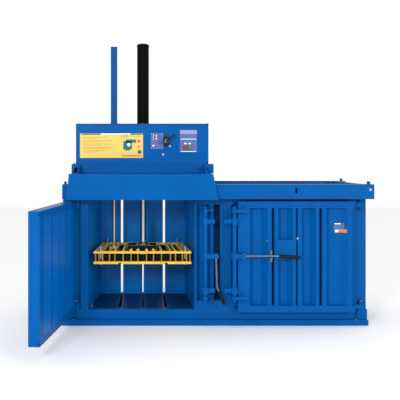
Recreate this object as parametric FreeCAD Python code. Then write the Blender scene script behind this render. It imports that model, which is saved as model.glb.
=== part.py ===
import FreeCAD, Part
import os
import math

# Twin-chamber vertical baler with one hydraulic head that slides between the chambers.
# Millimetres, +Z up. The design frame has X from the left chamber's centre, Y back from the
# doors' outer face and Z from the floor; every solid is shifted by (OX, OY) at the end so that
# the origin is the middle of the base's underside.

V = FreeCAD.Vector
os.makedirs("parts", exist_ok=True)

# ---- driving dimensions ----
PITCH = 1485.0            # distance between the two chamber centres
MID = PITCH / 2.0
XL, XR = -789.0, 2197.0   # outer faces of the base
Y_BACK = 900.0
FLOOR_Z = 150.0
WALL_TOP = 1239.0
RAIL_TOP = 1381.0
JAMB_Y = 95.0
BACK_Y = 810.0            # inner face of the chamber's back wall
SLOTS = (-230.0, 0.0, 230.0)
SLOT_W = (24.0, 14.0, 24.0)
HINGE_X, HINGE_Y = -647.0, 95.0
DOOR_Z0, DOOR_Z1 = 145.0, 1215.0
DOOR_T = 94.0
DOOR_OPEN = -97.8         # left door's angle at rest, from closed
HEAD_X = -5.0             # centre of the head and the platen
CYL_Y = 452.0
PLATEN_UP = 24.0          # height of the platen as stored, above its drawn height
OX, OY = (XL + XR) / 2.0, (60.0 + Y_BACK) / 2.0


def box(x0, x1, y0, y1, z0, z1):
    return Part.makeBox(x1 - x0, y1 - y0, z1 - z0, V(x0, y0, z0))


def cyl(r, x, y, z, h, d=(0, 0, 1)):
    return Part.makeCylinder(r, h, V(x, y, z), V(*d))


def prism(pts, z0, z1):
    w = Part.makePolygon([V(x, y, z0) for x, y in pts] + [V(pts[0][0], pts[0][1], z0)])
    return Part.Face(w).extrude(V(0, 0, z1 - z0))


def prism_x(pts, x0, x1):
    w = Part.makePolygon([V(x0, y, z) for y, z in pts] + [V(x0, pts[0][0], pts[0][1])])
    return Part.Face(w).extrude(V(x1 - x0, 0, 0))


def prism_y(pts, y0, y1):
    w = Part.makePolygon([V(x, y0, z) for x, z in pts] + [V(pts[0][0], y0, pts[0][1])])
    return Part.Face(w).extrude(V(0, y1 - y0, 0))


def strip(pts, t):
    """Folded sheet's section: a polyline and its offset by t to its left."""
    n = len(pts)
    out = []
    for i in range(n):
        def nrm(a, b):
            dx, dy = b[0] - a[0], b[1] - a[1]
            l = math.hypot(dx, dy)
            return (-dy / l, dx / l)
        if i == 0:
            m = nrm(pts[0], pts[1]); k = 1.0
        elif i == n - 1:
            m = nrm(pts[-2], pts[-1]); k = 1.0
        else:
            a, b = nrm(pts[i - 1], pts[i]), nrm(pts[i], pts[i + 1])
            m = (a[0] + b[0], a[1] + b[1])
            l = math.hypot(*m); m = (m[0] / l, m[1] / l)
            k = 1.0 / (m[0] * a[0] + m[1] * a[1])
        out.append((pts[i][0] + m[0] * t * k, pts[i][1] + m[1] * t * k))
    return pts + out[::-1]


def tube(x0, x1, y0, y1, z0, z1, t, axis):
    o = box(x0, x1, y0, y1, z0, z1)
    if axis == "x":
        return o.cut(box(x0 - 1, x1 + 1, y0 + t, y1 - t, z0 + t, z1 - t))
    if axis == "y":
        return o.cut(box(x0 + t, x1 - t, y0 - 1, y1 + 1, z0 + t, z1 - t))
    return o.cut(box(x0 + t, x1 - t, y0 + t, y1 - t, z0 - 1, z1 + 1))


def shell(x0, x1, y0, y1, z0, z1, t):
    return box(x0, x1, y0, y1, z0, z1).cut(box(x0 + t, x1 - t, y0 + t, y1 - t, z0 + t, z1 - t))


def fuse(a, *more):
    for m in more:
        a = a.fuse(m)
    return a.removeSplitter()


def mirror(s):
    return s.mirror(V(MID, 0, 0), V(1, 0, 0))


def turned(s, deg):
    s = s.copy()
    s.rotate(V(HINGE_X, HINGE_Y, 0), V(0, 0, 1), deg)
    return s


GROUPS = {}
PLATEN = ("platen_press_plates", "platen_frame_bars", "platen_ribs", "platen_top_bars", "rod_flange_and_bolts",
          "piston_rod", "piston", "guide_rod")


def save(name, *solids):
    out = GROUPS.setdefault(name, [])
    for s in solids:
        for q in s.Solids:
            q = q.copy()
            up = PLATEN_UP if name in PLATEN else 0.0
            q.translate(V(-OX, -OY, up))
            if not q.isValid() or q.Volume <= 0:
                print("BAD", name, q.isValid(), q.Volume)
            out.append(q)


both = lambda s: (s, mirror(s))
XRM = PITCH - XL          # mirrored outer face of the right module

# ---- base: sills and cross members under the floor ----
def holed(s, r=9):
    for sx in (-1, 1):
        for sy in (-1, 1):
            s = s.cut(cyl(r, OX + sx * 1380.0, OY + sy * 390.0, -5, 200))
    return s


save("base_frame", holed(box(XL, XR, 95, 175, 53, 150), 20))
save("base_frame", holed(box(XL, XR, 60, 175, 0, 53)), holed(box(XL, XR, 820, Y_BACK, 0, 53)))
save("base_frame", holed(box(XL, XR, 820, Y_BACK, 53, 150), 20))
# a foot on the centre line
save("base_frame", box(674, 734, 175, 820, 0, 12))
members = [box(x, x + 60, 175, 820, 0, 110) for x in (XL, -545, 485, 674, 940, 1970, XR - 60)]
save("base_frame", *members)


def floor(cx):
    xs = [-505, -242, -218, -7, 7, 218, 242, 490]
    if cx:
        xs = [-x for x in xs][::-1]
    return [box(cx + xs[i], cx + xs[i + 1], 175, 809, 110, FLOOR_Z) for i in range(0, 8, 2)]


save("left_chamber_floor", *floor(0.0))
save("right_chamber_floor", *floor(PITCH))


# ---- chamber walls: each chamber narrows towards the back ----
def back_wall(cx):
    sol = []
    for a, b in ((-460, -242), (-218, -7), (7, 218), (242, 460)):
        p = strip([(cx + a, BACK_Y + 45), (cx + a, BACK_Y), (cx + b, BACK_Y), (cx + b, BACK_Y + 45)], 6)
        sol.append(prism(p, FLOOR_Z, WALL_TOP))
    return sol


save("left_back_wall", *back_wall(0.0))
save("right_back_wall", *back_wall(PITCH))
lw = prism([(-534, 175), (-460, BACK_Y), (-468, BACK_Y), (-542, 175)], FLOOR_Z, WALL_TOP)
rw = prism([(506, 175), (514, 175), (468, BACK_Y), (460, BACK_Y)], FLOOR_Z, WALL_TOP)
save("chamber_side_walls", lw, rw)
save("chamber_side_walls", mirror(lw), mirror(rw))

# ---- posts ----
lp = prism([(-534, 95), (-534, 175), (XL, 175), (XL, 132), (-612, 132), (-612, 95)], FLOOR_Z, WALL_TOP)
lpi = prism([(-540, 101), (-540, 169), (XL + 6, 169), (XL + 6, 138), (-606, 138), (-606, 101)], FLOOR_Z - 1, WALL_TOP + 1)
lp = lp.cut(lpi)
save("outer_posts", lp)
# the right post ends at the base's end
rp = mirror(lp).common(box(0, XR, 0, 400, 0, 2000))
save("outer_posts", fuse(rp, box(XR - 6, XR, 132, 175, FLOOR_Z, WALL_TOP)))
pc = strip([(502, 175), (502, 95), (529, 95), (562, 150), (622, 150), (655, 95), (691, 95), (691, 175)], 6)
caps = lambda x0, x1: [box(x0, x1, 95, 101, FLOOR_Z, 237), box(x0, x1, 95, 101, 1180, WALL_TOP)]
save("latch_posts", fuse(prism(pc, FLOOR_Z, WALL_TOP), *caps(520, 680)))
pr = strip([(755, 175), (755, 95), (863, 95), (893, 150), (940, 150), (958, 95), (983, 95), (983, 175)], 6)
save("latch_posts", fuse(prism(pr, FLOOR_Z, WALL_TOP), *caps(850, 975)))
save("latch_posts", fuse(box(691, 755, 160, 166, FLOOR_Z, WALL_TOP), *[fuse(c, box(691, 755, 95, 166, c.BoundBox.ZMin, c.BoundBox.ZMin + 6)) for c in caps(691, 755)]))
save("rear_posts_and_braces", *[tube(x, x + 90, 820, Y_BACK, FLOOR_Z, WALL_TOP, 6, "z") for x in (XL, -560, 470, 925, 1955, XR - 90)])
sb = []
for x in (XL, XR - 50):
    for z in (620, 1180):
        sb.append(tube(x, x + 50, 175, 820, z, z + 50, 5, "y"))
save("rear_posts_and_braces", *sb)

# ---- rails that the head rolls on ----
beam = tube(-770, 2218, -20, 92, WALL_TOP, RAIL_TOP, 8, "x")
beam = beam.cut(box(1467, 1485, -30, -10, 1297, 1345))
save("front_rail_beam", beam)
save("header_plate", box(-770, XR, 92, 103, WALL_TOP, RAIL_TOP))
save("rear_rail_beam", tube(-770, 2218, 822, 922, WALL_TOP, RAIL_TOP, 8, "x"))
save("rail_ties_and_stops", box(2218, 2226, -20, 92, WALL_TOP, RAIL_TOP), box(2218, 2226, 822, 922, WALL_TOP, RAIL_TOP),
     box(-778, -770, -20, 92, WALL_TOP, RAIL_TOP), box(-778, -770, 822, 922, WALL_TOP, RAIL_TOP))
save("rail_ties_and_stops", box(2090, 2150, 103, 822, 1300, 1381), box(712, 734, 103, 822, 1239, 1280))
save("rail_ties_and_stops", box(2180, 2200, 20, 60, RAIL_TOP, 1408), box(2180, 2200, 852, 892, RAIL_TOP, 1408),
     box(-764, -744, 20, 60, RAIL_TOP, 1408), box(-764, -744, 852, 892, RAIL_TOP, 1408))
save("door_hinge_brackets", *[s for z0, z1 in ((151, 226), (1134, 1221)) for s in both(fuse(cyl(15, HINGE_X, HINGE_Y, z0, z1 - z0), cyl(21, HINGE_X, HINGE_Y, z1, 8)))])
hb = []
for z, h in ((151, 7.6), (207, 12), (1141, 12), (1202, 12)):
    p = fuse(box(HINGE_X - 26, HINGE_X + 26, HINGE_Y, 132, z, z + h), cyl(26, HINGE_X, HINGE_Y, z, h)).cut(cyl(15, HINGE_X, HINGE_Y, z - 1, 14))
    hb += list(both(p))
save("door_hinge_brackets", *hb)


# ---- doors, drawn closed for the left chamber ----
def door():
    d = {}
    z0, z1 = DOOR_Z0, DOOR_Z1
    d["rails"] = [box(-560, 568, 0, DOOR_T, z1 - 62, z1), box(-560, 568, 0, DOOR_T, z0, z0 + 62)]
    zi0, zi1 = z0 + 62, z1 - 62
    st = [tube(452, 568, 0, DOOR_T, zi0, zi1, 6, "z"), tube(-560, -532, 30, DOOR_T, zi0, zi1, 5, "z")]
    lugs = []
    for z in (159, 1154):
        a = fuse(box(-647, -560, 67, 92, z, z + 46), cyl(27, HINGE_X, HINGE_Y, z, 46))
        lugs.append(a.cut(cyl(15.06, HINGE_X, HINGE_Y, z - 1, 48)))
    d["stiles"] = st
    d["lugs"] = lugs
    secs = []
    prof = [
        [(242, 86), (242, 0), (279, 0), (337, 55), (414, 55), (446, 12)],
        [(7, 86), (7, 0), (38, 0), (86, 55), (144, 55), (182, 0), (218, 0), (218, 86)],
        [(-218, 86), (-218, 0), (-184, 0), (-136, 55), (-78, 55), (-49, 0), (-7, 0), (-7, 86)],
        [(-531.5, 40), (-531.5, 0), (-493, 0), (-435, 42), (-320, 42), (-281, 0), (-242, 0), (-242, 86)],
    ]
    for p in prof:
        secs.append(prism(strip(p, 5), zi0, zi1))
    d["sections"] = secs
    d["skins"] = [box(a, b, 87, DOOR_T, zi0, zi1) for a, b in ((242, 452), (7, 218), (-218, -7), (-532, -242))]
    d["clip_plate"] = [box(-191, 0, -8, 0, 660, 844).cut(box(-150, -60, -9, 1, 700, 800))]
    return d


D = door()
for k, nm in (("rails", "door_frame"), ("stiles", "door_frame"), ("lugs", "door_frame"), ("sections", "door_panels"), ("skins", "door_panels")):
    save("left_" + nm, *[turned(s, DOOR_OPEN) for s in D[k]])
    save("right_" + nm, *[mirror(s) for s in D[k]])
grip_plate = box(7, 202, -7, -0.2, 660, 844)
clip = [box(240, 260, -9, 0, 632, 747), cyl(7, 250, -42, 672, 33, (0, 1, 0)), cyl(7, 289.5, -10, 840, 10, (0, 1, 0))]
save("left_door_lever_clip", *[turned(s, DOOR_OPEN) for s in clip])
save("left_door_frame", turned(grip_plate, DOOR_OPEN))
save("right_door_frame", mirror(grip_plate))
save("right_door_lever_clip", *[mirror(s) for s in clip])

# ---- latches: vertical shaft with two claws, turned by a long lever ----
LS = (598.0, -25.0)
RS = (878.0, -25.0)


def latch_shaft(sx, sy, side, reach=98.0):
    s = cyl(20, sx, sy, 255, 912)
    for z in (361, 1027):
        s = s.fuse(cyl(33, sx, sy, z - 32, 64))
        s = s.fuse(box(min(sx, sx + side * reach), max(sx, sx + side * reach), sy - 11, sy + 11, z - 20, z + 20))
    return s


def arm(sx, sy, px):
    """Hub on the shaft with a two-plate fork that holds the lever's cross pin."""
    a = cyl(31, sx, sy, 660, 64)
    for y in (sy - 22, sy + 15):
        a = a.fuse(box(sx, px + 20, y, y + 7, 672, 712))
    return a.fuse(cyl(8, px, sy - 25, 692, 48, (0, 1, 0)))



lsh = fuse(latch_shaft(LS[0], LS[1], 1, 92.0), arm(LS[0], LS[1], 700.0))
save("left_latch_shaft", lsh)
rsh = fuse(latch_shaft(RS[0], RS[1], -1), arm(RS[0], RS[1], 970.0))
save("right_latch_shaft", rsh)


def bearing(sx, sy, z, y1):
    b = fuse(box(sx - 24, sx + 24, sy, y1, z, z + 30), cyl(29, sx, sy, z, 30))
    return b.cut(cyl(20.06, sx, sy, z - 1, 32))


save("left_latch_bearings", *[fuse(bearing(LS[0], LS[1], z, 60), box(574, 689, 60, 94.9, z, z + 30)) for z in (275, 1110)])
rb = []
for z in (275, 1110):
    s = fuse(box(RS[0], 1010, -42, -8, z, z + 30), cyl(29, RS[0], RS[1], z, 30), box(960, 1010, -10, 0, z - 40, z + 70)).cut(cyl(20.06, RS[0], RS[1], z - 1, 32))
    rb.append(s)
save("right_latch_bearings", *rb)


# lever: a rod from a cross pin in the arm's end, with a moulded grip
def lever(px, py, pz, ang, bend, side):
    """Runs from the pivot at ang degrees above +X (times side), the grip turned by bend."""
    a = math.radians(ang)
    d = V(side * math.cos(a), 0, math.sin(a))
    p0 = V(px, py, pz)
    p1 = p0 + d * 300
    b = math.radians(bend)
    g = V(side * math.cos(b), 0, math.sin(b))
    rod = Part.makeCylinder(12, 318, p0 - d * 18, d)
    hub = cyl(26, px, py - 14, pz, 28, (0, 1, 0))
    rod = fuse(rod, hub, Part.makeSphere(12, p1))
    rod = fuse(rod, Part.makeCylinder(12, 60, p1, g)) if bend != ang else rod
    rod = rod.cut(cyl(8.05, px, py - 20, pz, 40, (0, 1, 0)))
    return rod, p1, g


# left lever hangs from its pin; right lever lies level across its door
LP = (700.0, -25.0, 692.0)
RP = (970.0, -25.0, 692.0)
rodL, e, g = lever(LP[0], LP[1], LP[2], -88, -66, 1)
save("left_lever_rod", rodL)
gripL = Part.makeCylinder(17, 125, e + g * 40, g).fuse(Part.makeSphere(17, e + g * 165)).cut(Part.makeCylinder(12, 22, e + g * 38, g)).cut(Part.makeSphere(12.0, e))
save("left_lever_grip", gripL.removeSplitter())
rodR, e, g = lever(RP[0], RP[1], RP[2], 0, 0, 1)
rod_out = V(math.cos(math.radians(20)), -math.sin(math.radians(20)), 0)
rodR = fuse(rodR, Part.makeCylinder(12, 60, e, rod_out))
save("right_lever_rod", rodR)
gripR = Part.makeCylinder(17, 185, e + rod_out * 40, rod_out).fuse(Part.makeSphere(17, e + rod_out * 225)).cut(Part.makeCylinder(12, 22, e + rod_out * 38, rod_out))
save("right_lever_grip", gripR.removeSplitter())
# ---- head: carriage on four rollers ----
HW0, HW1 = -713.0, 674.0
ch = lambda y0, y1: prism_x([(y0, 1481), (y0, 1392), (y0 + 8, 1392), (y0 + 8, 1473), (y1 - 8, 1473), (y1 - 8, 1392), (y1, 1392), (y1, 1481)], HW0, HW1)
AX_Z, WR = 1426.3, 45.0
wx = (-620.0, 580.0)
wys = (36.0, 872.0)
holes = [cyl(12, x, y - 70, AX_Z, 140, (0, 1, 0)) for x in wx for y in wys]
fc, rc = ch(-14, 86), ch(819, 925)
for h in holes:
    fc = fc.cut(h)
    rc = rc.cut(h)
save("carriage_frame", fc, rc)
save("carriage_frame", tube(-713, -640, 86, 819, 1400, 1481, 6, "y"), tube(600, 674, 86, 819, 1400, 1481, 6, "y"))
save("roller_axles", *[fuse(cyl(12, x, y0, AX_Z, y1 - y0, (0, 1, 0)), cyl(16, x, y0 - 4, AX_Z, 4, (0, 1, 0))) for x in wx for y0, y1 in ((-15, 87), (818, 926))])
wheels = []
for i, x in enumerate(wx):
    for j, y in enumerate(wys):
        w = cyl(WR, x, y - 24, AX_Z, 48, (0, 1, 0)).cut(cyl(12.06, x, y - 26, AX_Z, 52, (0, 1, 0)))
        save("%s_rollers" % ("left", "right")[i], w)

# apron: one slanting plate with a triangular cheek at each end
def loft(p, q):
    f = []
    n = len(p)
    f.append(Part.Face(Part.makePolygon([V(*a) for a in p] + [V(*p[0])])))
    f.append(Part.Face(Part.makePolygon([V(*a) for a in q] + [V(*q[0])])))
    for i in range(n):
        j = (i + 1) % n
        f.append(Part.Face(Part.makePolygon([V(*p[i]), V(*p[j]), V(*q[j]), V(*q[i]), V(*p[i])])))
    s = Part.makeSolid(Part.makeShell(f))
    return s if s.Volume > 0 else s.reversed()


ap = prism_x([(-14, 1481), (-22, 1481), (-122, 1238), (-114, 1238), (-14, 1475)], -727, 713)
ap = ap.cut(prism_y([(674, 1500), (713, 1238), (760, 1200), (760, 1500)], -200, 10))
ap = ap.cut(prism_y([(-713, 1500), (-727, 1238), (-760, 1200), (-760, 1500)], -200, 10))
save("apron", ap)
save("apron", *[prism_x([(-17, 1472), (-112, 1240), (-27, 1240), (-27, 1388), (-17, 1388)], x, x + 6) for x in (-713, 668)])

# cross-beam, gussets, cylinder and guide
cbm = tube(-724, 716, 300, 600, 1481, 1574, 10, "x")
cbm = cbm.cut(cyl(63, 0, CYL_Y, 1400, 300)).cut(cyl(45, -300, CYL_Y, 1400, 300))
save("cross_beam", cbm)
save("carriage_frame", *[prism_x([(-10, 1481), (299.9, 1481), (299.9, 1570), (285, 1570)], x, x + 12) for x in (-643, 613)])
save("cylinder_barrel", cyl(61, 0, CYL_Y, 1482, 1308).cut(cyl(50, 0, CYL_Y, 1481, 1310)))
cap = cyl(63, 0, CYL_Y, 2790, 16).fuse(Part.makeCone(63, 48, 8, V(0, CYL_Y, 2806))).fuse(cyl(49.9, 0, CYL_Y, 2770, 20))
save("cylinder_cap", cap.removeSplitter())
gl = fuse(cyl(90, 0, CYL_Y, 1466, 15), cyl(49.9, 0, CYL_Y, 1481, 60)).cut(cyl(30.06, 0, CYL_Y, 1400, 200))
save("cylinder_gland", gl)
save("guide_tube", tube(-332.5, -267.5, CYL_Y - 32.5, CYL_Y + 32.5, 1575, 2778, 5, "z"))
save("guide_tube", box(-334, -266, CYL_Y - 34, CYL_Y + 34, 2778, 2784))
save("guide_bush", fuse(cyl(44.9, -300, CYL_Y, 1481, 94), cyl(60, -300, CYL_Y, 1466, 15)).cut(cyl(17.06, -300, CYL_Y, 1400, 200)))

# power and control box on the cross-beam
BX0, BX1, BY0, BY1, BZ0, BZ1 = -680.0, 664.0, 315.0, 600.0, 1575.0, 1980.0
t = 3.0
bs = box(BX0, BX1, BY0, BY1, BZ0, BZ1).cut(box(BX0 + t, BX1 - t, BY0 + t, BY1 + 1, BZ0 + t, BZ1 + 1))
bs = bs.cut(cyl(66, 0, CYL_Y, 1500, 200)).cut(box(-337, -263, CYL_Y - 37, CYL_Y + 37, 1500, 1700))
bs = bs.cut(cyl(14.1, 430, 300, 1741, 40, (0, 1, 0))).cut(cyl(14.1, 474, 300, 1741, 40, (0, 1, 0))).cut(cyl(12.1, 225, 300, 1803, 40, (0, 1, 0)))
save("power_box_shell", bs)
lid = box(BX0 - 6, BX1 + 6, BY0 - 8, BY1 + 6, BZ1, BZ1 + 4).cut(cyl(10, 0, 560, BZ1 - 1, 6)).cut(cyl(64, 0, CYL_Y, 1900, 200)).cut(box(-335, -265, CYL_Y - 35, CYL_Y + 35, 1900, 2100))
save("power_box_lid", lid)
rcv = box(BX0, BX1, BY1, BY1 + 4, BZ0, BZ1)
for i in range(6):
    rcv = rcv.cut(box(200, 480, BY1 - 1, BY1 + 6, 1640 + i * 36, 1652 + i * 36))
save("power_box_rear_cover", rcv)
save("oil_tank", shell(-640, -380, 350, 580, 1579, 1850, 4))
save("electric_motor", fuse(cyl(85, 150, 500, 1700, 230, (1, 0, 0)), cyl(78, 380, 500, 1700, 40, (1, 0, 0)), box(170, 350, 430, 570, 1579, 1630)))
save("pump_and_valve_block", box(98, 149.5, 465, 535, 1665, 1735))
save("pump_and_valve_block", box(180, 270, 345, 400, 1770, 1860))
# hydraulic lines: straight runs joined by tangent arcs
def pipe(pts, r, rb):
    P = [V(*p) for p in pts]
    edges = []
    cur = P[0]
    for i in range(1, len(P) - 1):
        a = (P[i - 1] - P[i]).normalize()
        b = (P[i + 1] - P[i]).normalize()
        ang = a.getAngle(b)
        k = rb / math.tan(ang / 2)
        s, e = P[i] + a * k, P[i] + b * k
        m = (a + b).normalize()
        c = P[i] + m * (rb / math.sin(ang / 2))
        mid = c - m * rb
        edges.append(Part.makeLine(cur, s))
        edges.append(Part.Arc(s, mid, e).toShape())
        cur = e
    edges.append(Part.makeLine(cur, P[-1]))
    w = Part.Wire(edges)
    d = (P[1] - P[0])
    c = Part.Wire(Part.makeCircle(r, P[0], d))
    s = w.makePipeShell([c], True, False)
    print("pipe", round(s.Volume), round(math.pi * r * r * w.Length), rb)
    return s


save("hydraulic_pipes", pipe([(230, 400.5, 1830), (230, 560, 1830), (0, 560, 1900), (0, 560, 2740), (0, 514, 2740)], 8, 26))
save("hydraulic_pipes", pipe([(179.5, 372, 1800), (120, 372, 1800), (120, 372, 1640), (120, CYL_Y, 1640), (62, CYL_Y, 1640)], 8, 24))
save("power_box_rear_cover", fuse(cyl(20, 560, 604, 1640, 14, (0, 1, 0)), cyl(14, 560, 618, 1640, 18, (0, 1, 0))))
# front plates of the box
FY = BY0
save("instruction_plate", box(-640, 0, FY - 2, FY - 0.02, 1636, 1885))
save("switch_plates", box(80, 206, FY - 3, FY - 0.02, 1726, 1889).cut(cyl(12.1, 225, 300, 1803, 40, (0, 1, 0))))
pl = box(375, 548, FY - 3, FY - 0.02, 1697, 1919).cut(cyl(14.1, 430, 300, 1741, 40, (0, 1, 0))).cut(cyl(14.1, 474, 300, 1741, 40, (0, 1, 0)))
save("switch_plates", pl)
save("start_button_red", fuse(cyl(14, 430, FY - 12, 1741, 22, (0, 1, 0)), cyl(17.5, 430, FY - 16, 1741, 7, (0, 1, 0))))
save("start_button_green", fuse(cyl(14, 474, FY - 12, 1741, 22, (0, 1, 0)), cyl(17.5, 474, FY - 16, 1741, 7, (0, 1, 0))))
save("switch_plates", fuse(cyl(16, 176, FY - 18, 1800, 14.8, (0, 1, 0)), box(173, 179, FY - 32, FY - 18, 1784, 1816)))
save("valve_body", box(213, 262, FY - 46, FY - 0.02, 1760, 1854).cut(cyl(9.06, 238, FY - 60, 1806, 44, (0, 1, 0))))
a = math.radians(38)
vl = cyl(9, 238, FY - 72, 1806, 54, (0, 1, 0)).fuse(cyl(14, 238, FY - 66, 1806, 12, (0, 1, 0)))
vd = V(math.cos(a), 0, math.sin(a))
vl = vl.fuse(Part.makeCylinder(6, 84, V(238, FY - 60, 1806), vd)).fuse(Part.makeCylinder(10, 22, V(238, FY - 60, 1806) + vd * 78, vd))
save("valve_lever", vl.removeSplitter())

# ---- platen: yellow cage of ribs between two frames, on the rod ----
def half(y):
    return 482.0 + (y - 125.0) * (435.0 - 482.0) / (790.0 - 125.0)


def trap(y0, y1, z0, z1, inset=0.0):
    return prism([(HEAD_X - half(y0) + inset, y0), (HEAD_X + half(y0) - inset, y0), (HEAD_X + half(y1) - inset, y1), (HEAD_X - half(y1) + inset, y1)], z0, z1)


slots = [box(s - w / 2, s + w / 2, 100, 800, 500, 597) for s, w in ((-230, 26), (0, 26), (230, 26))]
pp = trap(125, 790, 566, 580)
for s in slots:
    pp = pp.cut(s)
save("platen_press_plates", pp)
lo = [trap(125, 165, 580, 590), trap(750, 790, 580, 590)]
save("platen_frame_bars", *lo)
up = [trap(125, 165, 670, 690), trap(750, 790, 670, 690)]
save("platen_frame_bars", *up)
ribx = [-469, -434, -400, -331, -277, -197, -118, -50, 35, 104, 183, 272, 321, 390, 430, 463]
ribs = []
for x in ribx:
    k = (x - HEAD_X) / 482.0
    def xy(y, o):
        return (HEAD_X + k * half(y) + o, y)
    r = prism([xy(127, -5), xy(127, 5), xy(788, 5), xy(788, -5)], 580, 670)
    ribs.append(r.cut(lo[0]).cut(lo[1]))
# two cross webs stand between the ribs, near the front and the rear bars
allribs = fuse(*ribs)
webs = [w for y in (205, 738) for w in trap(y, y + 6, 580, 670, 1).cut(allribs).Solids]
save("platen_ribs", *ribs, *webs)
print("webs", len(webs), min(w.Volume for w in webs))
tops = []
for x in ribx:
    k = (x - HEAD_X) / 482.0
    y1 = 750 if abs(x) > 130 else 330
    tops.append(prism([(HEAD_X + k * half(165) - 9, 165), (HEAD_X + k * half(165) + 9, 165), (HEAD_X + k * half(y1) + 9, y1), (HEAD_X + k * half(y1) - 9, y1)], 670, 694))
save("platen_top_bars", *tops)
spine = fuse(box(-160, 140, 335, 347, 670, 720), box(-160, 140, 557, 569, 670, 720), box(-140, 120, 347, 557, 670, 690))
save("platen_top_bars", spine)
rf = fuse(box(-75, 75, CYL_Y - 75, CYL_Y + 75, 690, 706), cyl(48, 0, CYL_Y, 706, 26))
save("rod_flange_and_bolts", rf)
rod = cyl(30, 0, CYL_Y, 732, 1228)
save("piston_rod", rod)
save("piston", cyl(49.93, 0, CYL_Y, 1960, 50))
save("guide_rod", fuse(cyl(17, -300, CYL_Y, 706, 1319), cyl(32, -300, CYL_Y, 694, 12)))
save("platen_top_bars", box(-345, -255, CYL_Y - 45, CYL_Y + 45, 670, 694).cut(fuse(*[tp for tp in tops])))
bl = []
for x, y in ((-434 + 17, 140), (HEAD_X + 420, 140), (-385, 770), (HEAD_X + 380, 770)):
    bl.append(fuse(cyl(9, x, y, 697, 34), cyl(15, x, y, 690, 12), Part.makeSphere(9, V(x, y, 731))))
for dx in (-58, 58):
    for dy in (-58, 58):
        bl.append(cyl(10, dx, CYL_Y + dy, 706, 14))
save("rod_flange_and_bolts", *bl)
for name, out in GROUPS.items():
    c = out[0] if len(out) == 1 else Part.makeCompound(out)
    c.exportStep("parts/%s.step" % name)
print("nodes", len(GROUPS))
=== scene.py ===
import bpy, bmesh, math, random
from mathutils import Vector, Matrix


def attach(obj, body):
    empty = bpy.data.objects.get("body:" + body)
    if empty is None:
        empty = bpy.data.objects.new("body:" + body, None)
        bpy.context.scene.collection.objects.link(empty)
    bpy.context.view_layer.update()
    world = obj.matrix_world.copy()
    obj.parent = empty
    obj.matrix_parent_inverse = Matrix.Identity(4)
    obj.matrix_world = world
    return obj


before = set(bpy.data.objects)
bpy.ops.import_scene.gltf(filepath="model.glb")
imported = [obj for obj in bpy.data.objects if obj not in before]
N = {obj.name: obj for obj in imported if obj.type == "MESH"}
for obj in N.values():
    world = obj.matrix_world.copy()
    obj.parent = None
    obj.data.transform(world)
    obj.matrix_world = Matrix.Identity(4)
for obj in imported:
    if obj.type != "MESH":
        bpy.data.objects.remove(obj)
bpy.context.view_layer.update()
random.seed(7)

OX, OY = 0.704, 0.480


def P(x, y, z):
    """Design millimetres to the frame's metres."""
    return Vector((x / 1000 - OX, y / 1000 - OY, z / 1000))


# ------------------------------------------------------------------ materials
def srgb(r, g, b):
    f = lambda c: (c / 255 / 12.92) if c / 255 <= 0.04045 else ((c / 255 + 0.055) / 1.055) ** 2.4
    return (f(r), f(g), f(b), 1.0)


def lit(r, g, b, k=1.35):
    """A base colour that shows as this colour under k times a plain white light."""
    c = srgb(r, g, b)
    return tuple(min(1, v / k) for v in c[:3]) + (1.0,)


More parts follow.
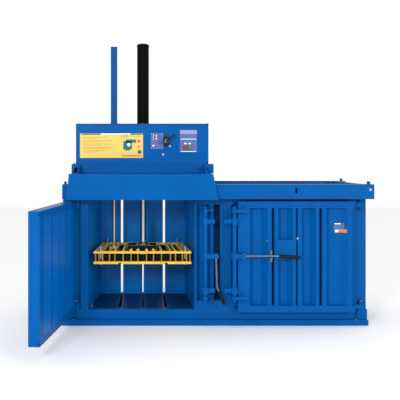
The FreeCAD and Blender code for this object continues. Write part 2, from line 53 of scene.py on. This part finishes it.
def mat(name, color, rough=0.4, metal=0.0, coat=0.0, coat_rough=0.1, vary=0.12, vscale=3.0, bump=0.04, bscale=260.0,
        rvar=0.08, brushed=None, dust=None, dust_amt=0.0, spec=0.5):
    m = bpy.data.materials.new(name)
    m.use_nodes = True
    nt = m.node_tree
    nd, ln = nt.nodes, nt.links
    b = nd["Principled BSDF"]
    b.inputs["Metallic"].default_value = metal
    b.inputs["Coat Weight"].default_value = coat
    b.inputs["Coat Roughness"].default_value = coat_rough
    b.inputs["Specular IOR Level"].default_value = spec
    tc = nd.new("ShaderNodeTexCoord")
    mp = nd.new("ShaderNodeMapping")
    ln.new(tc.outputs["Object"], mp.inputs["Vector"])
    if brushed:
        mp.inputs["Scale"].default_value = brushed
    big = nd.new("ShaderNodeTexNoise")
    big.inputs["Scale"].default_value = vscale
    big.inputs["Detail"].default_value = 6.0
    big.inputs["Roughness"].default_value = 0.6
    ln.new(tc.outputs["Object"], big.inputs["Vector"])
    ramp = nd.new("ShaderNodeValToRGB")
    ramp.color_ramp.elements[0].position = 0.3
    ramp.color_ramp.elements[1].position = 0.7
    lo = tuple(c * (1 - vary) for c in color[:3]) + (1,)
    hi = tuple(min(1, c * (1 + vary)) for c in color[:3]) + (1,)
    ramp.color_ramp.elements[0].color = lo
    ramp.color_ramp.elements[1].color = hi
    ln.new(big.outputs["Fac"], ramp.inputs["Fac"])
    col = ramp.outputs["Color"]
    if dust:
        n2 = nd.new("ShaderNodeTexNoise")
        n2.inputs["Scale"].default_value = 9.0
        n2.inputs["Detail"].default_value = 8.0
        n2.inputs["Roughness"].default_value = 0.72
        ln.new(tc.outputs["Object"], n2.inputs["Vector"])
        r2 = nd.new("ShaderNodeValToRGB")
        r2.color_ramp.elements[0].position = 0.55
        r2.color_ramp.elements[1].position = 0.8
        r2.color_ramp.elements[0].color = (0, 0, 0, 1)
        r2.color_ramp.elements[1].color = (dust_amt,) * 3 + (1,)
        ln.new(n2.outputs["Fac"], r2.inputs["Fac"])
        mx = nd.new("ShaderNodeMixRGB")
        ln.new(r2.outputs["Color"], mx.inputs["Fac"])
        ln.new(col, mx.inputs["Color1"])
        mx.inputs["Color2"].default_value = dust
        col = mx.outputs["Color"]
    ln.new(col, b.inputs["Base Color"])
    fine = nd.new("ShaderNodeTexNoise")
    fine.inputs["Scale"].default_value = bscale
    fine.inputs["Detail"].default_value = 3.0
    ln.new(mp.outputs["Vector"], fine.inputs["Vector"])
    rr = nd.new("ShaderNodeMapRange")
    rr.inputs["To Min"].default_value = max(0.02, rough - rvar)
    rr.inputs["To Max"].default_value = rough + rvar
    ln.new((fine if brushed else big).outputs["Fac"], rr.inputs["Value"])
    ln.new(rr.outputs["Result"], b.inputs["Roughness"])
    bp = nd.new("ShaderNodeBump")
    bp.inputs["Strength"].default_value = bump
    bp.inputs["Distance"].default_value = 0.002
    ln.new(fine.outputs["Fac"], bp.inputs["Height"])
    ln.new(bp.outputs["Normal"], b.inputs["Normal"])
    return m


BLUE = mat("blue_powder_coat", lit(0, 94, 172), 0.36, coat=0.0, spec=0.05, vary=0.07, vscale=2.2, bump=0.06, bscale=150,
           dust=srgb(6, 60, 120), dust_amt=0.25)
# a brighter copy of the blue paint for the left door's panels, set for their lit inner face: painted light; noise
# patches vary its tone
DOORIN = mat("blue_door_skin_painted_light", lit(0, 102, 186, 1.16), 0.33, coat=0.0, spec=0.07, vary=0.08, vscale=1.8, bump=0.05, bscale=140,
             dust=srgb(10, 74, 140), dust_amt=0.25)
# the chamber walls take a brighter copy of the blue paint to offset their shade: painted light; noise patches vary its
# tone
CHAMBER = mat("blue_chamber_worn_painted_light", lit(0, 100, 176, 0.95), 0.3, coat=0.0, spec=0.1, vary=0.14, vscale=4, bump=0.08, bscale=90,
              dust=srgb(10, 60, 120), dust_amt=0.3)
# the chamber floors take a much darker blue, set from the floor in shade: painted shade; noise patches vary its tone
FLOORM = mat("floor_scuffed_painted_shade", lit(5, 50, 96, 1.0), 0.42, spec=0.12, vary=0.2, vscale=7, bump=0.15, bscale=60, dust=srgb(20, 50, 90), dust_amt=0.3)
YEL = mat("yellow_enamel", lit(238, 200, 72, 1.15), 0.3, coat=0.1, spec=0.2, coat_rough=0.12, vary=0.1, vscale=12, bump=0.08, bscale=120,
          dust=srgb(110, 74, 20), dust_amt=0.35)
# the platen ribs take a darker yellow with heavy near-black noise patches
YELIN = mat("yellow_ribs_darker", lit(150, 124, 52, 1.0), 0.45, spec=0.15, vary=0.3, vscale=14, bump=0.12, bscale=90, dust=srgb(20, 14, 8), dust_amt=0.8)
# near-black, for thin skins over the platen's seat and inner faces
NEAR_BLACK = mat("near_black_web", (0.006, 0.0055, 0.005, 1), 0.5, spec=0.12, vary=0.3, vscale=14, bump=0.1, bscale=90)
ZINC = mat("zinc_steel", (0.36, 0.38, 0.42, 1), 0.34, metal=1.0, vary=0.15, vscale=25, bump=0.05, bscale=300)
RODM = mat("lever_steel_dull", (0.12, 0.17, 0.26, 1), 0.4, metal=1.0, vary=0.2, vscale=20, bump=0.05, bscale=260, brushed=(1, 1, 20))
CHROME = mat("hard_chrome", (0.5, 0.44, 0.4, 1), 0.16, metal=1.0, vary=0.04, bump=0.02, bscale=120, brushed=(1, 1, 30), rvar=0.05)
BRZ = mat("guide_rod_tint", (0.46, 0.36, 0.27, 1), 0.3, metal=1.0, vary=0.12, bump=0.03, bscale=120, brushed=(1, 1, 30))
BRONZE = mat("turned_bronze", (0.55, 0.36, 0.16, 1), 0.3, metal=1.0, vary=0.1, bump=0.05, bscale=200, brushed=(1, 1, 20))
BLK = mat("black_cylinder_paint", (0.0022, 0.002, 0.0012, 1), 0.5, spec=0.03, vary=0.25, vscale=6, bump=0.012, bscale=60)
BLKM = mat("black_satin_metal", srgb(12, 12, 13), 0.42, spec=0.2, vary=0.2, vscale=20, bump=0.06, bscale=300)
GRIP = mat("grip_rubber", srgb(15, 9, 7), 0.5, spec=0.2, vary=0.25, vscale=30, bump=0.25, bscale=420)
GREY = mat("grey_satin", srgb(95, 99, 103), 0.4, vary=0.1, vscale=8, bump=0.06, bscale=200)
CAST = mat("cast_block", srgb(62, 62, 66), 0.55, metal=0.4, vary=0.2, vscale=30, bump=0.35, bscale=160)
ROLL = mat("roller_steel", (0.4, 0.4, 0.42, 1), 0.35, metal=1.0, vary=0.1, bump=0.05, bscale=180, brushed=(1, 20, 1))
PYEL = mat("printed_yellow", lit(246, 214, 112, 1.3), 0.45, spec=0.1, vary=0.03, vscale=10, bump=0.02, bscale=80)
PLIL = mat("printed_lilac", lit(96, 120, 182), 0.45, spec=0.1, vary=0.05, vscale=12, bump=0.02, bscale=80)
RED = mat("red_button", lit(226, 30, 40), 0.3, coat=0.2, spec=0.2, vary=0.05, bump=0.03, bscale=400)
GREEN = mat("green_button", lit(44, 168, 66), 0.3, coat=0.2, spec=0.2, vary=0.05, bump=0.03, bscale=400)
TEAL = mat("print_teal", lit(38, 128, 140), 0.45, spec=0.1, vary=0.05, bump=0.02)
PTAN = mat("print_tan_line", lit(226, 188, 98), 0.45, spec=0.1, vary=0.05, bump=0.02)
PWHITE = mat("print_white", srgb(235, 236, 232), 0.4, vary=0.03, bump=0.02)
PPINK = mat("print_pink", lit(222, 122, 110), 0.45, spec=0.1, vary=0.05, bump=0.02)
PNAVY = mat("print_navy", srgb(30, 60, 120), 0.45, vary=0.05, bump=0.02)
PORG = mat("print_orange", lit(236, 150, 56), 0.45, spec=0.1, vary=0.05, bump=0.02)
PLIL2 = mat("print_lilac_light", lit(160, 164, 214), 0.45, spec=0.1, vary=0.04, bump=0.02)
# near-black: the lid lip's own black, and painted shade on the plates and discs standing in for holes
DARK = mat("black_trim_and_painted_shade", srgb(4, 8, 18), 0.8, spec=0.05, vary=0.2, bump=0.1, bscale=120)
BRASS = mat("brass_dot", (0.7, 0.5, 0.2, 1), 0.3, metal=1.0, vary=0.08, bump=0.03)
# a darker copy of the blue paint, for parts that sit in shade: painted shade
DARKBLUE = mat("blue_painted_shade", lit(3, 80, 145), 0.4, coat=0.0, spec=0.08, vary=0.1, vscale=3, bump=0.06, bscale=150)
# near-black navy, used as painted shade in gaps and recesses
DARKNAVY = mat("navy_painted_recess_shade", lit(8, 34, 66, 0.8), 0.6, spec=0.05, vary=0.2, vscale=4, bump=0.08, bscale=120)
WELD = mat("painted_weld", lit(3, 96, 172), 0.4, coat=0.03, spec=0.1, vary=0.1, vscale=40, bump=0.3, bscale=500)

use = {n: BLUE for n in N}
use.update({n: CHAMBER for n in ("left_back_wall", "right_back_wall", "chamber_side_walls")})
use.update({n: FLOORM for n in ("left_chamber_floor", "right_chamber_floor")})
use.update({n: YEL for n in ("platen_frame_bars", "platen_top_bars", "platen_press_plates")})
use["platen_ribs"] = YELIN
use.update({"rod_flange_and_bolts": ZINC, "piston_rod": CHROME, "piston": CAST, "guide_rod": BRZ, "cylinder_barrel": BLK,
            "cylinder_cap": BLK, "cylinder_gland": BLKM, "guide_bush": BRONZE, "oil_tank": GREY, "electric_motor": GREY,
            "pump_and_valve_block": CAST, "hydraulic_pipes": BLKM, "instruction_plate": PYEL, "switch_plates": PLIL,
            "valve_body": BLKM, "valve_lever": BLKM, "left_rollers": ROLL, "right_rollers": ROLL, "roller_axles": ZINC,
            "start_button_red": RED, "start_button_green": GREEN, "left_lever_rod": RODM, "right_lever_rod": RODM,
            "left_lever_grip": GRIP, "right_lever_grip": GRIP, "left_door_lever_clip": RODM, "right_door_lever_clip": RODM,
            # the left door panels take the brighter blue copy: painted light
            # the rear rail and guide tube take the darker blue copy: painted shade
            "left_door_panels": DOORIN, "rear_rail_beam": DARKBLUE, "guide_tube": DARKBLUE})
for n, o in N.items():
    o.data.materials.clear()
    o.data.materials.append(use[n])

bev = {"base_frame": 3, "front_rail_beam": 4, "rear_rail_beam": 4, "outer_posts": 3, "latch_posts": 2.5, "rear_posts_and_braces": 3,
       "left_door_frame": 4, "right_door_frame": 4, "left_door_panels": 2, "right_door_panels": 2, "apron": 3, "cross_beam": 4,
       "power_box_shell": 1.2, "power_box_lid": 1.2, "carriage_frame": 3, "platen_frame_bars": 2.5, "platen_top_bars": 2.5,
       "platen_ribs": 1.2, "guide_tube": 3, "left_latch_shaft": 2, "right_latch_shaft": 2, "left_latch_bearings": 2,
       "right_latch_bearings": 2, "door_hinge_brackets": 1.5, "left_back_wall": 2, "right_back_wall": 2, "valve_body": 2,
       "left_chamber_floor": 1.5, "right_chamber_floor": 1.5, "rail_ties_and_stops": 2, "rod_flange_and_bolts": 1.2,
       "header_plate": 1.5, "switch_plates": 0.8, "start_button_red": 1.2, "start_button_green": 1.2, "pump_and_valve_block": 2,
       "left_lever_grip": 1.5, "right_lever_grip": 1.5, "cylinder_cap": 1.5, "left_rollers": 2, "right_rollers": 2}
for n, w in bev.items():
    if n in N:
        m = N[n].modifiers.new("edge", "BEVEL")
        m.width = w / 1000
        m.segments = 2
        m.limit_method = "ANGLE"
        m.angle_limit = math.radians(40)
        m.harden_normals = False


# ------------------------------------------------------------------ piece helpers
class Mesh:
    """Collects simple solids into one mesh, in design millimetres."""

    def __init__(self):
        self.bm = bmesh.new()

    def box(self, x0, x1, y0, y1, z0, z1, b=0.0, rot=None, about=None):
        t = bmesh.new()
        bmesh.ops.create_cube(t, size=1.0)
        for v in t.verts:
            v.co = Vector((x0 + (v.co.x + .5) * (x1 - x0), y0 + (v.co.y + .5) * (y1 - y0), z0 + (v.co.z + .5) * (z1 - z0)))
        if b:
            bmesh.ops.bevel(t, geom=t.edges[:], offset=b, segments=2, affect="EDGES")
        self._add(t, rot, about)
        return self

    def cyl(self, c, axis, r, h, seg=24, b=0.0, r2=None, rot=None, about=None):
        t = bmesh.new()
        bmesh.ops.create_cone(t, cap_ends=True, segments=seg, radius1=r, radius2=r if r2 is None else r2, depth=h)
        if b:
            ed = [e for e in t.edges if abs(e.verts[0].co.z - e.verts[1].co.z) < 1e-6]
            bmesh.ops.bevel(t, geom=ed, offset=b, segments=2, affect="EDGES")
        q = Vector((0, 0, 1)).rotation_difference(Vector(axis).normalized()).to_matrix().to_4x4()
        bmesh.ops.transform(t, matrix=Matrix.Translation(Vector(c)) @ q, verts=t.verts[:])
        self._add(t, rot, about)
        return self

    def ring(self, c, ro, ri, h, seg=64):
        """An upright ring, its lower face at c."""
        t = bmesh.new()
        loops = []
        for r, z in ((ro, 0), (ro, h), (ri, h), (ri, 0)):
            loops.append([t.verts.new((c[0] + r * math.cos(2 * math.pi * k / seg), c[1] + r * math.sin(2 * math.pi * k / seg), c[2] + z))
                          for k in range(seg)])
        for a in range(4):
            u, v = loops[a], loops[(a + 1) % 4]
            for k in range(seg):
                t.faces.new((u[k], u[(k + 1) % seg], v[(k + 1) % seg], v[k]))
        self._add(t)
        return self

    def hexbolt(self, c, axis, r, rot=None, about=None):
        a = Vector(axis).normalized()
        self.cyl(Vector(c) + a * 1.5, a, r * 1.45, 3, 28, 0.5, None, rot, about)
        self.cyl(Vector(c) + a * (3 + r * 0.45), a, r * 1.05, r * 0.9, 6, r * 0.12, None, rot, about)
        self.cyl(Vector(c) + a * (3 + r * 1.05), a, r * 0.6, r * 0.5, 20, r * 0.1, None, rot, about)
        return self

    def bead(self, p, q, r):
        """A rippled weld bead from p to q."""
        p, q = Vector(p), Vector(q)
        n = max(4, int((q - p).length / (r * 1.3)))
        for i in range(n):
            t = bmesh.new()
            bmesh.ops.create_icosphere(t, subdivisions=1, radius=r)
            j = Vector([random.uniform(-.12, .12) * r for _ in range(3)])
            bmesh.ops.transform(t, matrix=Matrix.Translation(p.lerp(q, (i + .5) / n) + j), verts=t.verts[:])
            self._add(t)
        return self

    def _add(self, t, rot=None, about=None):
        if rot is not None:
            m = Matrix.Translation(Vector(about)) @ Matrix.Rotation(math.radians(rot), 4, "Z") @ Matrix.Translation(-Vector(about))
            bmesh.ops.transform(t, matrix=m, verts=t.verts[:])
        me = bpy.data.meshes.new("t")
        t.to_mesh(me)
        t.free()
        self.bm.from_mesh(me)
        bpy.data.meshes.remove(me)

    def done(self, name, material, body, slot, smooth=True):
        me = bpy.data.meshes.new(name)
        for v in self.bm.verts:
            v.co = P(*v.co)
        bmesh.ops.recalc_face_normals(self.bm, faces=self.bm.faces[:])
        self.bm.to_mesh(me)
        self.bm.free()
        o = bpy.data.objects.new(name, me)
        bpy.context.scene.collection.objects.link(o)
        me.materials.append(material)
        if smooth:
            for p in me.polygons:
                p.use_smooth = True
            try:
                me.set_sharp_from_angle(angle=math.radians(38))
            except Exception:
                pass
        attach(o, body)
        return o


PIV = (-647.0, 95.0, 0.0)
OPEN = -97.8
HALF = 742.5
mir = lambda x: 2 * HALF - x

# ------------------------------------------------------------------ head: plates on the power box
FY = 315.0
m = Mesh().box(-638, -2, FY - 3.2, FY - 2.1, 1871, 1883)
m.done("plate_header_band", TEAL, "head", "plate_yellow")
Mesh().box(-430, -130, FY - 4.2, FY - 3.3, 1873, 1883).done("plate_header_bar", PWHITE, "head", "plate_yellow")
m = Mesh()
for i in range(5):
    z = 1842 - i * 34
    w = (250, 300, 270, 310, 220)[i]
    m.box(-610, -610 + w, FY - 3.0, FY - 2.1, z, z + 7)
    m.box(-610, -610 + w * 0.7, FY - 3.0, FY - 2.1, z - 12, z - 7)
m.box(-220, -150, FY - 3.0, FY - 2.1, 1846, 1866).box(-120, -20, FY - 3.0, FY - 2.1, 1852, 1860)
m.done("plate_line_blocks", PTAN, "head", "plate_yellow")
m = Mesh().box(-200, -112, FY - 3.4, FY - 2.1, 1722, 1806, 1.0)
m.box(-176, -68, FY - 3.4, FY - 2.1, 1790, 1823, 1.0).box(-178, -134, FY - 3.4, FY - 2.1, 1711, 1723, 1.0)
m.done("plate_block_drawing", TEAL, "head", "plate_yellow")
Mesh().cyl((-145, FY - 4.0, 1770), (0, -1, 0), 17, 1.2, 28).done("plate_drawing_eye", PWHITE, "head", "plate_yellow")
Mesh().cyl((-35, FY - 2.7, 1696), (0, -1, 0), 21, 1.0, 28).done("plate_teal_dot", TEAL, "head", "plate_yellow")
m = Mesh().box(-216, -12, FY - 3.2, FY - 2.1, 1652, 1664).cyl((-40, FY - 2.7, 1806), (0, -1, 0), 17, 1.0, 24).box(-54, -26, FY - 3.2, FY - 2.1, 1742, 1758)
m.done("plate_pink_strip", PPINK, "head", "plate_yellow")
m = Mesh()
for x, z in ((-628, 1874), (-12, 1874), (-628, 1647), (-12, 1647)):
    m.cyl((x, FY - 3.0, z), (0, -1, 0), 4.5, 2.2, 16, 0.5)
m.done("plate_rivets", ZINC, "head", "zinc_steel")
# lamps and key switch on the upper switch plate
m = Mesh()
for i, z in enumerate((1868, 1846, 1824)):
    m.cyl((106, FY - 6, z), (0, -1, 0), 7, 6, 24, 1.2)
m.done("panel_lamps_amber", PYEL, "head", "plate_lilac")
m = Mesh()
for z in (1860, 1832):
    m.cyl((136, FY - 6, z), (0, -1, 0), 7, 6, 24, 1.2)
m.cyl((106, FY - 6, 1760), (0, -1, 0), 9, 6, 24, 1.5)
m.done("panel_lamps_white", PWHITE, "head", "plate_lilac")
Mesh().cyl((136, FY - 6, 1804), (0, -1, 0), 7, 6, 24, 1.2).cyl((106, FY - 6, 1794), (0, -1, 0), 6, 6, 24, 1.2).done("panel_lamps_pink", PPINK, "head", "plate_lilac")
m = Mesh()
for x, z in ((88, 1881), (198, 1881), (88, 1734), (198, 1734), (383, 1911), (540, 1911), (383, 1705), (540, 1705)):
    m.cyl((x, FY - 3.8, z), (0, -1, 0), 4, 2.4, 16, 0.6)
m.done("panel_screws", ZINC, "head", "zinc_steel")
Mesh().box(376, 547, FY - 4.4, FY - 3.1, 1878, 1918).done("button_plate_band", PLIL2, "head", "plate_lilac")
Mesh().box(382, 541, FY - 4.4, FY - 3.1, 1824, 1830).box(382, 541, FY - 4.4, FY - 3.1, 1698, 1704).done("button_plate_line", PWHITE, "head", "plate_lilac")
m = Mesh()
for x in (430, 474):
    m.box(x - 12, x + 12, FY - 4.4, FY - 3.1, 1776, 1788)
m.done("button_plate_marks", PWHITE, "head", "plate_lilac")
m = Mesh()
for x in (430, 474):
    m.cyl((x, FY - 4.6, 1741), (0, -1, 0), 22, 3, 32, 0.8)
m.done("button_collars", BLKM, "head", "black_metal")
m = Mesh().cyl((237, FY - 48, 1806), (0, -1, 0), 17, 5, 28, 1.5)
m.done("valve_brass_boss", BRASS, "head", "bronze")
m = Mesh()
m.hexbolt((271, FY, 1757), (0, -1, 0), 8).hexbolt((205, FY, 1671), (0, -1, 0), 8)
m.done("box_bolts_front", ZINC, "head", "zinc_steel")
# box: seam flanges, lid screws, side louvres, lid lip
m = Mesh()
for x in (-672, 656):
    m.box(x - 9, x + 9, FY - 2.2, FY - 0.1, 1580, 1976, 0.7)
m.box(-680, 664, FY - 2.2, FY - 0.1, 1576, 1592, 0.7)
m.done("box_front_seams", BLUE, "head", "blue_paint")
m = Mesh()
for i in range(9):
    x = -660 + i * 163
    m.cyl((x, 330, 1985.5), (0, 0, 1), 6, 3.4, 6, 0.5).cyl((x, 588, 1985.5), (0, 0, 1), 6, 3.4, 6, 0.5)
for i in range(8):
    m.cyl((-655 + i * 184, 605.5, 1962), (0, 1, 0), 6, 3.4, 6, 0.5).cyl((-655 + i * 184, 605.5, 1592), (0, 1, 0), 6, 3.4, 6, 0.5)
m.done("box_cover_screws", ZINC, "head", "zinc_steel")
m = Mesh()
for s, x in ((-1, -680), (1, 664)):
    for i in range(7):
        z = 1690 + i * 30
        m.box(x - 5 if s < 0 else x, x if s < 0 else x + 5, 380, 540, z, z + 9, 2.0)
m.done("box_side_louvres", BLUE, "head", "blue_paint")
Mesh().box(648, 664, FY - 4.5, 330, 1968, 1984, 1.0).done("box_lid_lip", DARK, "head", "black_metal")

# cross-beam: bolts, hand hole shade, welds; cylinder cap bolts and bands, pipe clips, guide tube collar
m = Mesh()
for x in (-700, -560, -420, -160, 160, 420, 560, 690):
    m.hexbolt((x, 340, 1574), (0, 0, 1), 8).hexbolt((x, 585, 1574), (0, 0, 1), 8) if abs(x) > 690 else None
for k in range(8):
    a = math.pi * 2 * k / 8 + .2
    m.hexbolt((76 * math.cos(a), 452 + 76 * math.sin(a), 1466), (0, 0, -1), 6)
m.done("cross_beam_bolts", ZINC, "head", "zinc_steel")
# a near-black plate on the beam's left end paints the shade of a hand hole
Mesh().box(-697, -645, 298.6, 299.8, 1486, 1536).done("beam_hand_hole_painted_shade", DARK, "head", "blue_paint")
m = Mesh()
m.bead((-724, 299, 1482), (716, 299, 1482), 3.5)
for x in (-643, -631, 613, 625):
    m.bead((x, 10, 1482), (x, 296, 1482), 3.0)
m.done("cross_beam_welds", WELD, "head", "blue_paint")
m = Mesh()
for k in range(8):
    a = math.pi * 2 * k / 8
    m.cyl((49 * math.cos(a), 452 + 49 * math.sin(a), 2806), (0, 0, 1), 5.5, 12, 6, 0.8)
m.done("cylinder_cap_bolts", BLKM, "head", "black_metal")
m = Mesh()
for z in (1990, 2400, 2780):
    m.ring((0, 452, z), 62.2, 59.6, 9)
m.done("cylinder_bands", BLK, "head", "black_paint")
m = Mesh()
for z in (2110, 2350, 2590):
    m.box(-14, 14, 510, 575, z, z + 24, 1.5)
m.done("pipe_clips", BLKM, "head", "black_metal")
m = Mesh().box(-344, -256, 408, 412, 1984, 1992, 1).box(-344, -256, 492, 496, 1984, 1992, 1).box(-344, -340, 412, 492, 1984, 1992, 1).box(-260, -256, 412, 492, 1984, 1992, 1)
m.done("guide_tube_collar", BLUE, "head", "blue_paint")

# ------------------------------------------------------------------ rails, posts and base
m = Mesh()
m.bead((-765, -19, 1240), (-765, -19, 1380), 3)
m.bead((-770, 96, 1240), (-540, 96, 1240), 3)
for x0, x1 in ((505, 690), (756, 860)):
    m.bead((x0, 93.5, 1237), (x1, 93.5, 1237), 3)
m.bead((XR := 2196, 94, 1240), (2130, 94, 1240), 3)
m.done("frame_welds", WELD, "root", "blue_paint")
# dark blue strips round the detent slot paint the shade at its edges
m = Mesh()
m.box(1466, 1486, -21.2, -20.1, 1296, 1297.5).box(1466, 1486, -21.2, -20.1, 1344.5, 1346).box(1465.5, 1467, -21.2, -20.1, 1296, 1346).box(1485, 1486.5, -21.2, -20.1, 1296, 1346)
m.done("detent_slot_painted_shade_rim", DARKBLUE, "root", "blue_paint")
m = Mesh()
m.hexbolt((2185, -20, 1330), (0, -1, 0), 9)
for x in (-676, 2084):
    m.hexbolt((x, 870, 53), (0, 0, 1), 11).cyl((x, 78, 56), (0, 0, 1), 13, 5, 6, 1)
m.done("frame_bolts", ZINC, "root", "zinc_steel")
# a navy strip behind the door's top edge paints the shadow gap under the beam
Mesh().box(990, 2010, 103.5, 106, 1206, 1238.5, 0.5).done("door_top_gap_painted_shade", DARKNAVY, "root", "blue_paint")
# a navy sheet inside the gap between the latch posts paints the gap's shade
Mesh().box(693, 753, 158.4, 159.8, 239, 1178).done("post_gap_painted_shade", DARKNAVY, "root", "blue_paint")
# silver pin heads and grease nipples at the hinges
m = Mesh()
for px in (-647, mir(-647)):
    m.cyl((px, 95, 236), (0, 0, 1), 16, 5, 24, 1.5)
    for z in (207, 1141):
        m.hexbolt((px - 16 if px < 0 else px + 16, 122, z + 12), (0, 0, 1), 5)
m.done("hinge_pin_heads", ZINC, "root", "zinc_steel")
m = Mesh()
for z in (290, 1125):
    for x in (640, 672):
        m.hexbolt((x, 60, z), (0, -1, 0), 7)
m.done("bearing_bolts_left", WELD, "root", "blue_paint")
m = Mesh()
for z in (250, 330, 1090, 1165):
    m.hexbolt((985, -10, z), (0, -1, 0), 6)
m.done("bearing_bolts_right", WELD, "right_door", "blue_paint")

# ------------------------------------------------------------------ doors
for side in ("left", "right"):
    body = side + "_door"
    L = side == "left"
    mx = (lambda x: x) if L else mir
    rot = OPEN if L else None
    ab = PIV

    def bx(M, x0, x1, y0, y1, z0, z1, b=0.0):
        a, c = sorted((mx(x0), mx(x1)))
        M.box(a, c, y0, y1, z0, z1, b, rot, ab)

    # weld fillets where the panels meet the frame bars
    m = Mesh()
    for x0, x1 in ((242, 451), (7, 218), (-218, -7), (-531, -242)):
        for z in (207, 1153):
            n = int((x1 - x0) / 52)
            for i in range(n):
                xa = x0 + 10 + i * (x1 - x0 - 20) / n
                bx(m, xa, xa + 28, 84.5, 93.6, z - 2.5, z + 2.5, 1.4)
    m.done(side + "_door_weld_fillets", WELD, body, "blue_paint")
    # slot edge lips: thin rolled rims along each strap slot, outside
    m = Mesh()
    for s, w in ((-230, 24), (0, 14), (230, 24)):
        for e in (-1, 1):
            xc = s + e * (w / 2 + 3.4)
            bx(m, xc - 2.2, xc + 2.2, -2.0, -0.1, 214, 1146, 0.7)
    m.done(side + "_door_slot_lips", BLUE, body, "blue_paint")
    # bolts on the latch plate
    m = Mesh()
    m.hexbolt((mx(-6), 0, 858), (0, -1, 0), 7, rot, ab)
    m.done(side + "_door_bolts", ZINC, body, "zinc_steel")
    # near-black discs on the door's inner face paint the shade of its corner holes
    m = Mesh()
    for z in (172, 1188):
        m.cyl((mx(578), 94.5, z), (0, 1, 0), 10, 0.9, 24, 0.0, None, rot, ab)
    m.done(side + "_door_corner_hole_shade", DARK, body, "blue_paint")
    # hinge-side gusset
    m = Mesh()
    for z in (159, 1154):
        bx(m, -572, -558, 60, 66.8, z - 2, z + 48, 1.5)
    m.done(side + "_door_lug_pads", BLUE, body, "blue_paint")
# plain colour fields of the sticker on the right door
# they fold over the edge where the flat pan meets its slope
ED, SL = (1920, 42, 0), -35.9
m = Mesh().box(1856, 1919.4, 41.0, 41.8, 908, 1004).box(1920.6, 1955, 41.0, 41.8, 908, 1004, 0.0, SL, ED)
m.done("door_field_lilac", PLIL, "right_door", "plate_lilac")
m = Mesh().box(1904, 1919.2, 39.8, 40.8, 912, 944).box(1920.8, 1983, 39.8, 40.8, 912, 944, 0.0, SL, ED)
m.done("door_field_orange", PORG, "right_door", "plate_lilac")
m = Mesh().box(1866, 1898, 39.8, 40.8, 914, 938).box(1860, 1918, 39.8, 40.8, 992, 1001)
m.done("door_field_white", PWHITE, "right_door", "plate_lilac")

# ------------------------------------------------------------------ platen: studs, pads, seat bolts, dark skins, rod collar
PU = 24
m = Mesh()
for x, y in ((-417, 140), (415, 140), (-385, 770), (375, 770)):
    m.cyl((x, y, 562 + PU), (0, 0, 1), 13, 8, 24, 3.5)
    m.cyl((x, y, 643 + PU), (0, 0, 1), 8, 54, 20, 0.6)
m.done("platen_corner_studs", ZINC, "platen", "zinc_steel")
m = Mesh()
m.box(-30, 24, 116.5, 124.5, 667 + PU, 693 + PU, 2).box(-30, 24, 116.5, 124.5, 569 + PU, 592 + PU, 2)
m.done("platen_centre_pads", YEL, "platen", "yellow_paint")
m = Mesh()
for x in (-118, -50, 35, 104):
    m.cyl((x, 150, 700 + PU), (0, 0, 1), 17, 20, 24, 5)
m.done("platen_front_studs", YEL, "platen", "yellow_paint")
m = Mesh()
for dx in (-70, 70):
    for y in (350, 556):
        m.hexbolt((dx, y, 690 + PU), (0, 0, 1), 10)
m.cyl((-74, 346, 712 + PU), (0, 0, 1), 12, 22, 20, 4).cyl((70, 346, 712 + PU), (0, 0, 1), 12, 22, 20, 4)
m.done("platen_seat_bolts", ZINC, "platen", "zinc_steel")
# near-black thin skins over the platen's seat and inner faces
m = Mesh().box(-138, 118, 349, 555, 690.3 + PU, 692 + PU).box(-113, 99, 168, 331, 671 + PU, 674 + PU)
m.box(-474, 464, 203.6, 204.8, 580.5 + PU, 669.5 + PU).box(-436, 426, 736.6, 737.8, 580.5 + PU, 669.5 + PU)
for y in (333.6, 555.6):
    m.box(-158, 138, y, y + 1.2, 672 + PU, 719 + PU)
m.box(-158, 138, 335.5, 346.5, 720.1 + PU, 721.2 + PU)
m.done("platen_dark_skins", NEAR_BLACK, "platen", "black_metal")
m = Mesh().ring((0, 452, 732.3 + PU), 40, 30.4, 6.5)
m.done("rod_collar", BLKM, "platen", "black_metal")

# ------------------------------------------------------------------ floor, light, camera
fl = bpy.data.meshes.new("floor")
fl.from_pydata([(-14, -14, 0), (14, -14, 0), (14, 14, 0), (-14, 14, 0)], [], [(0, 1, 2, 3)])
fo = bpy.data.objects.new("floor", fl)
bpy.context.scene.collection.objects.link(fo)
fm = bpy.data.materials.new("pale_floor")
fm.use_nodes = True
fm.node_tree.nodes["Principled BSDF"].inputs["Base Color"].default_value = (0.9, 0.9, 0.9, 1)
fm.node_tree.nodes["Principled BSDF"].inputs["Roughness"].default_value = 0.9
fl.materials.append(fm)

w = bpy.data.worlds.new("studio")
bpy.context.scene.world = w
w.use_nodes = True
bg = w.node_tree.nodes["Background"]
bg.inputs["Color"].default_value = (1, 1, 1, 1)
bg.inputs["Strength"].default_value = 1.0
bpy.context.scene.view_settings.view_transform = "Standard"
bpy.context.scene.view_settings.look = "None"


def area(name, loc, target, size, power):
    d = bpy.data.lights.new(name, "AREA")
    d.size = size
    d.energy = power
    o = bpy.data.objects.new(name, d)
    bpy.context.scene.collection.objects.link(o)
    o.location = loc
    o.rotation_euler = (Vector(target) - Vector(loc)).to_track_quat("-Z", "Y").to_euler()
    return o


area("key", (-2.9, -7.2, 3.1), (0.2, 0, 1.0), 1.2, 210)
area("fill", (3.6, -6.5, 2.8), (0.2, 0, 0.9), 2.5, 110)
area("top", (0.0, -1.0, 5.5), (0.0, 0.0, 1.0), 3.0, 30)

cd = bpy.data.cameras.new("cam")
co = bpy.data.objects.new("cam", cd)
bpy.context.scene.collection.objects.link(co)
co.location = (-OX, -5.983 - OY, 1.635)
co.rotation_euler = (math.radians(90), 0, 0)
cd.sensor_width = 36
cd.lens = 55.8
cd.shift_x = 0.1425
cd.shift_y = -0.105
cd.clip_end = 100
bpy.context.scene.camera = co
